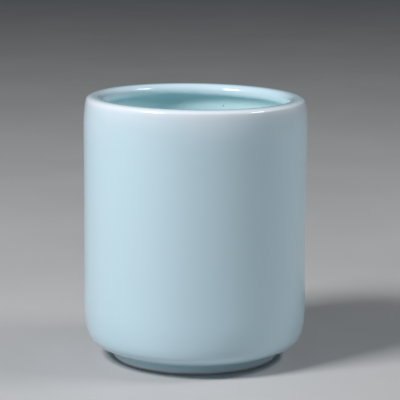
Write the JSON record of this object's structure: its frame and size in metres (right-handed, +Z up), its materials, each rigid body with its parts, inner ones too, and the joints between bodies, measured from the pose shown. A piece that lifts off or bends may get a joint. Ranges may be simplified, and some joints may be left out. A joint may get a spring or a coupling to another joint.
{
  "type": "brush holder pot",
  "caption": "Cylindrical celadon-glazed porcelain pot with a thick low-domed lip and a low foot ring, for standing writing brushes and pens in.",
  "frame": {"origin": "centre of the foot ring's contact circle, on the surface that the pot stands on", "axes": "+Z up along the pot's axis, towards its open mouth; it is a solid of revolution, so +X and +Y are any two directions square to it"},
  "size_m": [0.1, 0.1, 0.1185],
  "materials": {
    "porcelain": "bare fired porcelain, fine and matt, seen only on the foot ring",
    "glaze_outside": "glossy pale blue celadon, whiter where it thins at the outer edge of the lip",
    "glaze_inside": "glossy blue-green celadon, a little deeper where it is thicker",
    "glaze_base": "glossy pale blue celadon"
  },
  "bodies": {
    "root": {"porcelain_body": "porcelain", "outer_glaze": "glaze_outside", "inner_glaze": "glaze_inside", "base_glaze": "glaze_base"}
  },
  "joints": []
}
